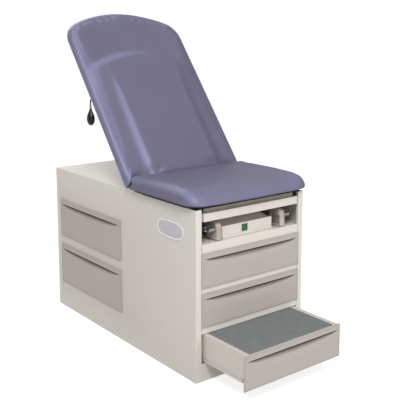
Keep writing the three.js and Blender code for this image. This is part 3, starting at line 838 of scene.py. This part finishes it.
def make_leg_pad():
    low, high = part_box("leg_rest_pad")
    half_x, half_y = (high.x - low.x) / 2 - 2 * MM, (high.y - low.y) / 2 - 2 * MM
    middle = Vector(((low.x + high.x) / 2, (low.y + high.y) / 2))
    outline = densified(np.array(rounded_outline(half_x, half_y, 22 * MM)), 14 * MM)
    thick = high.z - low.z
    roll = 12 * MM

    def surface(plan, gap):
        crown = 0.0015 * np.cos(plan[:, 0] / half_x * 1.4) * np.cos(plan[:, 1] / half_y * 1.4)
        inside = np.clip(roll - gap, 0, roll) / roll
        return thick - 0.0035 + crown - 0.011 * (1 - np.sqrt(1 - inside ** 2 * 0.98))

    obj = cushion_mesh("leg_rest_pad_vinyl", outline, (-0.12, 0.12), 0.0, surface, 4 * MM, 30)
    inflate(obj, 5 * MM, 0.0, 2 * MM, lambda p: np.column_stack([p[:, :2], np.maximum(p[:, 2], 0)]))
    obj.data.transform(Matrix.Translation((middle.x, middle.y, low.z)))
    adopt(obj, "leg_rest_pad")


# ---- drawer fronts

LIP = 26 * MM
RAMP = 46 * MM


def slot_height(taper):
    return 0.0004 + 0.0066 * taper ** 0.8


def fascia_profile(taper, face, height, squeeze):
    """The front's section from its back bottom edge to its back top edge, as (outwards, up) points. taper
    is 0 where the finger scoop runs out and 1 at its deepest; squeeze rounds the two end faces."""
    line = height - LIP
    groove = 0.0001 + 0.0049 * taper ** 0.5
    slot = slot_height(taper)
    ramp_depth = 0.0036 * taper
    ramp = slot + 0.002 + RAMP * taper ** 0.8
    bottom, top, edge = 3 * MM, 3.5 * MM, 1.2 * MM
    points = [(0.0, 0.001), (0.0007, 0.0)]
    for k in range(7):
        angle = math.pi / 2 * k / 6
        points.append((face - bottom + bottom * math.sin(angle), bottom - bottom * math.cos(angle)))
    lower_end = line - ramp
    for k in range(1, 10):
        points.append((face - 0.0005 * math.sin(math.pi * k / 9), bottom + (lower_end - bottom) * k / 9))
    for k in range(1, 17):
        w = k / 16
        points.append((face - ramp_depth * w ** 1.9, lower_end + (ramp - slot) * w))
    back = face - ramp_depth - (groove - ramp_depth) * 0.35
    points += [(back, line - slot * 0.93)] + [(face - groove, line - slot * share) for share in (0.86, 0.1)]
    points += [(face - groove + 0.0002, line), (face - edge, line)]
    points += [(face - edge * 0.3, line + edge * 0.3), (face, line + edge)]
    for k in range(1, 6):
        points.append((face - 0.0006 * math.sin(math.pi * k / 6), line + edge + (LIP - edge - top) * k / 6))
    for k in range(8):
        angle = math.pi / 2 * k / 7
        points.append((face - top + top * math.cos(angle), height - top + top * math.sin(angle)))
    points += [(0.0007, height), (0.0, height - 0.001)]
    limit = face - squeeze
    return [(min(d, limit), min(max(v, squeeze * 0.6), height - squeeze * 0.6)) for d, v in points]


def make_fascia(node, side_drawer=False):
    """A moulded front, facing -Y or, on a side drawer, -X. A point attribute paints shade into the finger
    slot.
    """
    low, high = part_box(node)
    wide, deep = (1, 0) if side_drawer else (0, 1)  # the axes along the front and through it
    thick, height = high[deep] - low[deep], high.z - low.z
    middle, half = (low[wide] + high[wide]) / 2, (high[wide] - low[wide]) / 2
    scoop_half = half - 20 * MM
    edge = 2.2 * MM
    ends = [(-half + edge * (1 - math.cos(a)), edge * (1 - math.sin(a)))
            for a in np.linspace(0, math.pi / 2, 5)]
    inner = [(x, 0.0) for x in np.linspace(-half + edge, half - edge, 79)[1:-1]]
    columns = ends + inner + [(-x, s) for x, s in reversed(ends)]
    points = []
    for across, squeeze in columns:
        taper = max(0.0, 1 - (across / scoop_half) ** 2) ** 0.5
        for out, up in fascia_profile(taper, thick, height, squeeze):
            if side_drawer:
                points.append((high.x - out, middle - across, low.z + up))
            else:
                points.append((middle + across, high.y - out, low.z + up))
    count = len(columns)
    per_column = len(points) // count
    faces = grid_faces(count, per_column)
    for start in range(0, (count - 1) * per_column, per_column):
        after = start + per_column
        faces.append((start, after, after + per_column - 1, after - 1))
    faces += [range(per_column), range(len(points) - per_column, len(points))]
    obj = new_object(node + "_moulding", points, faces, "taupe_plastic", 42)
    placed = coordinates(obj.data)
    across, out = placed[:, wide] - middle, high[deep] - placed[:, deep]
    below = height - LIP - (placed[:, 2] - low.z)
    taper = np.sqrt(np.clip(1 - (across / scoop_half) ** 2, 0, 1))
    slot = slot_height(taper)
    # Painted shade: the slot is darkened, a shadow is painted under the lip, and the ends, bottom and lip top
    # are darkened.
    slot_shade, rim_shade, hair = 0.97, 0.10, 0.3 * MM
    painted_lip_shadow = (1 - smoothstep(below, slot, slot + 0.001 + 0.021 * taper)) * 0.74 * np.minimum(1, taper * 2)
    shade = np.where(below > hair, painted_lip_shadow, 0.0)
    inside = (below > -hair) & (below < slot) & (out < thick - 1.5 * MM * (below < hair))
    shade = np.where(inside & (taper > 0.02), slot_shade, shade)
    rim = np.minimum(half - np.abs(across), placed[:, 2] - low.z)
    shade = np.maximum(shade, rim_shade * (1 - smoothstep(rim, 0.003, 0.013)))
    shade = np.maximum(shade, rim_shade * smoothstep(-below, LIP - 0.012, LIP - 0.001))
    obj.data.attributes.new("painted_shade", "FLOAT", "POINT").data.foreach_set("value", shade.astype(np.float32))
    adopt(obj, node)


# ---- cabinet, drawers and step

SHEET_PARTS = {
    "cream_paint": [
        "base_pan", "rear_panel", "top_deck", "front_rail_upper", "front_rail_middle", "front_rail_lower",
        "compartment_tray",
    ],
    "zinc_steel": ["left_slide_frame", "right_slide_frame", "mid_bulkhead", "rear_bulkhead", "step_left_rail",
                   "step_right_rail", "leg_rest_panel"],
}
DRAWERS = ["front_drawer_upper", "front_drawer_lower", "side_drawer_upper", "side_drawer_lower"]


def make_sheet_parts():
    for side, _ in SIDES:
        soft_part(f"{side}_side_panel", "cream_paint", 0.5, fold=is_front_fold)
    for slot, nodes in SHEET_PARTS.items():
        for node in nodes:
            soft_part(node, slot, 0.5)
    # The step box is cream paint drawn in its darker copy: painted shade.
    soft_part("step_box", "cream_paint", 0.8, "shaded_cream_paint")
    for drawer in DRAWERS:
        soft_part(drawer + "_box", "cream_paint", 0.4)
        for side, _ in SIDES:
            soft_part(f"{drawer}_{side}_rail", "zinc_steel", 0.3)


def is_front_fold(a, b):
    """The upright outer corner between a side panel and its front flange."""
    at_corner = all(abs(abs(p.x) - TABLE_HALF) < 1e-4 and abs(p.y - FRONT_Y) < 1e-4 for p in (a, b))
    return at_corner and abs(a.z - b.z) > 0.1


def make_mat():
    low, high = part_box("step_mat")
    half_x, half_y = (high.x - low.x) / 2, (high.y - low.y) / 2
    middle = ((low.x + high.x) / 2, (low.y + high.y) / 2)
    thick = high.z - low.z
    levels = [(1 * MM, 0.0), (0.0, 0.4 * MM), (0.0, thick - 1.1 * MM), (0.4 * MM, thick - 0.4 * MM),
              (1.2 * MM, thick), (8 * MM, thick - 0.1 * MM), (40 * MM, thick)]
    obj = stacked_rings(
        "step_mat_rubber", lambda inset: rounded_outline(half_x, half_y, 9 * MM, inset), levels, "grey_mat",
        lambda u, v, h: (middle[0] + u, middle[1] + v, low.z + h),
    )
    adopt(obj, "step_mat")


def make_badge():
    low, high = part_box("badge_plate")
    half_y, half_z = (high.y - low.y) / 2, (high.z - low.z) / 2
    middle_y, middle_z = (low.y + high.y) / 2, (low.z + high.z) / 2
    rim_levels = mm((0, 0), (0, 1.6), (0.6, 2.5), (2, 3), (4.4, 2.9), (5.8, 2.2))
    face_levels = mm((7, 1.3), (9, 1.5), (17, 2.2), (29, 2.6), (38, 2.7))

    def oval(inset):
        def squared(value):
            return math.copysign(abs(value) ** 0.72, value)
        return [((half_y - inset) * squared(math.cos(t)), (half_z - inset) * squared(math.sin(t)))
                for t in np.linspace(0, 2 * math.pi, 72, endpoint=False)]

    obj = stacked_rings(
        "badge_blank", oval, rim_levels + face_levels, "badge_plastic",
        lambda u, v, h: (high.x - h, middle_y - u, middle_z + v), 60, [(0, len(rim_levels), "rim")],
    )
    adopt(obj, "badge_plate")


# ---- compartment: leg rest, pan, stirrups


def make_compartment():
    soft_part("leg_rest_bar", "cream_paint", 1.2, segments=3)
    bar_low, bar_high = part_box("leg_rest_bar")
    # The upstand's brown-grey colour is painted shade for the band under the seat overhang.
    upstand = rounded_block(
        "leg_rest_upstand", (bar_low.x + 12 * MM, bar_high.y + 0.2 * MM, bar_high.z - 8 * MM),
        (bar_high.x - 12 * MM, bar_high.y + 3.6 * MM, bar_high.z + 16 * MM), 1.2 * MM, "umber_painted_shade",
    )
    trim(upstand, "leg_rest")
    soft_part("treatment_pan", "cream_plastic", 1.1, segments=3)
    low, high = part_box("treatment_pan")
    lip = rounded_block(
        "treatment_pan_foot_lip", (low.x + 1 * MM, low.y - 5 * MM, low.z + 0.2 * MM),
        (high.x - 1 * MM, low.y + 0.5 * MM, low.z + 9 * MM), 1.6 * MM, "cream_plastic",
    )
    trim(lip, "treatment_pan")
    # The liner is coloured pale to stand in for light under the leg rest: painted light.
    section = mm(
        (0, -2.2), (0, -0.8), (0.8, 0), (60, 14.0), (122, 28.6), (130, 29.8), (140, 30.2), (366, 30.2),
        (367, 29.4), (367, 28.2), (140, 27.4), (130, 27.0), (122, 25.8), (60, 11.2), (0.8, -3))
    inset, end = 7 * MM, 0.6 * MM
    points = [(x, low.y + 6 * MM + along, high.z - 6 * MM + up)
              for x in (low.x + inset, low.x + inset + end, high.x - inset - end, high.x - inset)
              for along, up in section]
    liner = closed_rings("treatment_pan_liner", points, len(section), "liner", 20.0)
    trim(liner, "treatment_pan")
    for side, sign in SIDES:
        near, far = sorted((sign * 219 * MM, sign * 237 * MM))
        saddle = rounded_block(
            f"stirrup_{side}_saddle", (near, FRONT_Y + 76 * MM, 600.2 * MM),
            (far, FRONT_Y + 82 * MM, 640.2 * MM), 1.4 * MM, "cream_paint",
        )
        trim(saddle, "cabinet")
    tag = stacked_rings(
        "treatment_pan_tag", lambda inset: rounded_outline(19 * MM, 18 * MM, 2 * MM, inset, 4),
        mm((0, -0.2), (0, 0.9), (0.5, 1.3), (2, 1.3), (2.3, 0.9), (6, 0.9)),
        "green", lambda u, v, h: (-27.5 * MM + u, low.y - h, low.z + 31 * MM + v), 40,
        [(0, 4, "badge_plastic")],
    )
    trim(tag, "treatment_pan")


def make_stirrups():
    for side, _ in SIDES:
        soft_part(f"stirrup_{side}_foot_plate", "cream_plastic", 1.6, "tread", segments=3)
        soft_part(f"stirrup_{side}_tube", "bright_steel", 0.5)
        soft_part(f"stirrup_{side}_swivel", "zinc_steel", 0.5)


# ---- backrest hardware


def make_boards():
    low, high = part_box("seat_board")
    half_x, half_y = (high.x - low.x) / 2 - 6 * MM, (high.y - low.y) / 2 - 11 * MM
    middle, thick = (low.y + high.y) / 2 + 10 * MM, high.z - low.z
    levels = mm((30, 0), (2, 0), (0, 1)) + [(0.0, thick - 1 * MM), (1 * MM, thick), (30 * MM, thick)]
    board = stacked_rings(
        "seat_board_ply", lambda inset: rounded_outline(half_x, half_y, 62 * MM, inset, 12), levels,
        "dark_board", lambda u, v, h: (u, middle + v, low.z + h),
    )
    adopt(board, "seat_board")
    soft_part("back_board", "dark_board", 1.5, segments=3)


def make_fasteners():
    """Screws in the hinge straps, the hinge feet and the rear panel's edges."""
    board_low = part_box("seat_board")[0].z - HINGE.z
    strap_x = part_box("back_hinge_arm_right")[0].x + 11 * MM
    foot_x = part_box("back_hinge_bracket_right")[1].x - 15 * MM
    for side, sign in SIDES:
        for k, along in enumerate((0.070, 0.135, 0.200)):
            place = (sign * strap_x, along, board_low - 2.6 * MM)
            screw = screw_head(f"strap_{side}_screw_{k}", place, (0, 0, -1), 4.5 * MM)
            screw.data.transform(BACK_TURN)
            trim(screw, "backrest")
        for k, along in enumerate((-0.011, 0.011)):
            place = (sign * foot_x, HINGE.y + along, DECK_TOP + 2.2 * MM)
            screw = screw_head(f"hinge_foot_{side}_screw_{k}", place, (0, 0, 1), 3.6 * MM)
            trim(screw, "cabinet")
    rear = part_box("rear_panel")
    for side, x in (("left", rear[0].x + 9 * MM), ("right", rear[1].x - 9 * MM)):
        for k, z in enumerate((0.10, 0.375, 0.65)):
            place = (x, rear[1].y - 0.2 * MM, z)
            screw = screw_head(f"rear_panel_{side}_screw_{k}", place, (0, 1, 0), 4.2 * MM)
            trim(screw, "cabinet")


def make_hardware():
    for node in ("back_hinge_bracket_left", "back_hinge_bracket_right", "back_hinge_arm_left",
                 "back_hinge_arm_right", "spring_anchor", "spring_lug"):
        soft_part(node, "zinc_steel", 0.4)


def ring(name, outer, bore, half_width, finish, along=0.0):
    """An eye about the x axis with rounded rims, so far along Y."""
    soft, count = 0.8 * MM, 40
    section = [(bore, soft * 0.5), (bore + soft * 0.5, 0), (outer - soft, 0),
               (outer - soft * 0.3, soft * 0.3), (outer, soft)]
    section = [(radius, across - half_width) for radius, across in section]
    section += [(radius, -across) for radius, across in reversed(section)]
    turns = np.linspace(0, 2 * math.pi, count, endpoint=False)
    points = [(across, along + radius * math.cos(turn), radius * math.sin(turn))
              for radius, across in section for turn in turns]
    faces = grid_faces(len(section), count, wrap=True)
    last = (len(section) - 1) * count
    faces += [(last + k, last + (k + 1) % count, (k + 1) % count, k) for k in range(count)]
    return new_object(name, points, faces, finish, 40.0)


def make_gas_spring():
    """Barrel and rod are drawn along Y from the anchor pin and then turned to where the lug is."""
    anchor = next(Vector(j["pos_m"]) for j in frame["joints"] if j["name"] == "gas_cylinder_swing")
    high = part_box("gas_spring_rod")[1]
    eye = 8 * MM
    lug = Vector((0, high.y - eye, high.z - eye))
    reach = (lug - anchor).length
    slant = math.atan2(lug.z - anchor.z, lug.y - anchor.y)
    turn = Matrix.Translation(anchor) @ Matrix.Rotation(slant, 4, "X")
    neck = chamfered_rod("neck", 7 * MM, 8.2 * MM, 26 * MM, "black_paint")
    barrel = lathe("barrel", mm(
        (3, 20), (8.5, 20), (10.2, 21), (11, 23.5), (11, 182), (10.5, 182.5), (10.5, 184.5), (11, 185),
        (11, 192), (10.2, 194), (8.4, 195), (6, 195), (5.5, 194.5), (5.5, 36), (1, 36)),
        "black_paint", "y", 48)
    barrel_eye = ring("eye", 9 * MM, 5.2 * MM, 9 * MM, "black_paint")
    cylinder = joined("gas_spring_barrel", [barrel, neck, barrel_eye])
    cylinder.data.transform(turn)
    adopt(cylinder, "gas_spring_cylinder")

    def hexagon(inset):
        corner = (6.2 * MM - inset) / math.cos(math.pi / 6)
        return [(corner * math.cos(a), corner * math.sin(a)) for a in np.arange(6) * math.pi / 3]

    shaft = chamfered_rod("shaft", 5 * MM, reach - 186 * MM, reach - 7.2 * MM, "bright_steel", 0.6 * MM)
    nut = stacked_rings(
        "nut", hexagon, mm((3, 0), (0.6, 0), (0, 0.5), (0, 5.5), (0.6, 6), (3, 6)), "zinc_steel",
        lambda u, v, h: (u, reach - 20 * MM + h, v), 30,
    )
    rod_eye = ring("eye", eye, 4.3 * MM, 4 * MM, "bright_steel", reach)
    rod = joined("gas_spring_plunger", [shaft, nut, rod_eye])
    rod.data.transform(turn)
    adopt(rod, "gas_spring_rod")


def make_lever():
    """The bent release rod and the drop-shaped grip on its end."""
    low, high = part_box("release_lever")
    radius, bend = 3.2 * MM, 9 * MM
    x, y, top = low.x + radius, (low.y + high.y) / 2, high.z - radius
    path = [(high.x, y, top)]
    path += [(x + bend + k, y, top) for k in (0.03, 0.015)]
    for k in range(9):
        angle = math.pi / 2 * k / 8
        path.append((x + bend - bend * math.sin(angle), y, top - bend + bend * math.cos(angle)))
    path += [(x, y, top - bend - k) for k in (0.012, 0.024, 0.036, 0.048)]
    rod = swept_tube("release_lever_rod", path, radius, "black_paint")
    ferrule = lathe("ferrule", mm((3, 0), (4.6, 0.3), (5, 1.4), (5, 10), (4.6, 11.4), (3, 12)),
                    "bright_steel", segments=32)
    ferrule.data.transform(Matrix.Translation((x, y, top - 44 * MM)))
    adopt(joined("release_lever_rod", [rod, ferrule]), "release_lever")

    grip_low, grip_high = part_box("release_grip")
    length = grip_high.z - grip_low.z
    upper = bezier((6.6 * MM, 0), (9.5 * MM, -0.018), (24 * MM, -0.028), (24 * MM, -0.050), 16)
    lower = bezier((24 * MM, -0.050), (24 * MM, -0.069), (13 * MM, -length), (0.4 * MM, -length), 16)[1:]
    profile = np.vstack([(4.2 * MM, 0.2 * MM), upper, lower])[::-1]
    grip = lathe("release_grip_drop", profile, "black_plastic", segments=48, smooth_angle=60)
    flattened = 0.72
    grip.data.transform(Matrix.Translation((x, y, grip_high.z)) @ Matrix.Diagonal((flattened, 1, 1, 1)))
    adopt(grip, "release_grip")


# ---- stage


def make_floor():
    half, count = 30.0, 25
    steps = np.linspace(-half, half, count)
    points = [(x, y, 0.0) for y in steps for x in steps]
    mesh = bpy.data.meshes.new("floor")
    mesh.from_pydata(points, [], grid_faces(count, count))
    pale = Finish("pale_studio_floor", (0.42, 0.42, 0.42), 0.9, Emission_Color=(1, 1, 1, 1))
    seen_strength(pale.tree, 0.24, 0.54, pale.bsdf.inputs["Emission Strength"])
    pale.drift(1.5, 0.01).relief(pale.noise(40, 2.0), 0.0002)
    mesh.materials.append(pale.material)
    add_object("floor", mesh)


make_camera()
make_studio()
make_floor()
make_sheet_parts()
for drawer in DRAWERS:
    make_fascia(drawer + "_front", drawer.startswith("side"))
make_fascia("step_front")
make_mat()
make_badge()
make_compartment()
make_stirrups()
make_boards()
make_fasteners()
make_hardware()
make_gas_spring()
make_lever()
make_seat_cushion()
make_back_cushion()
make_leg_pad()
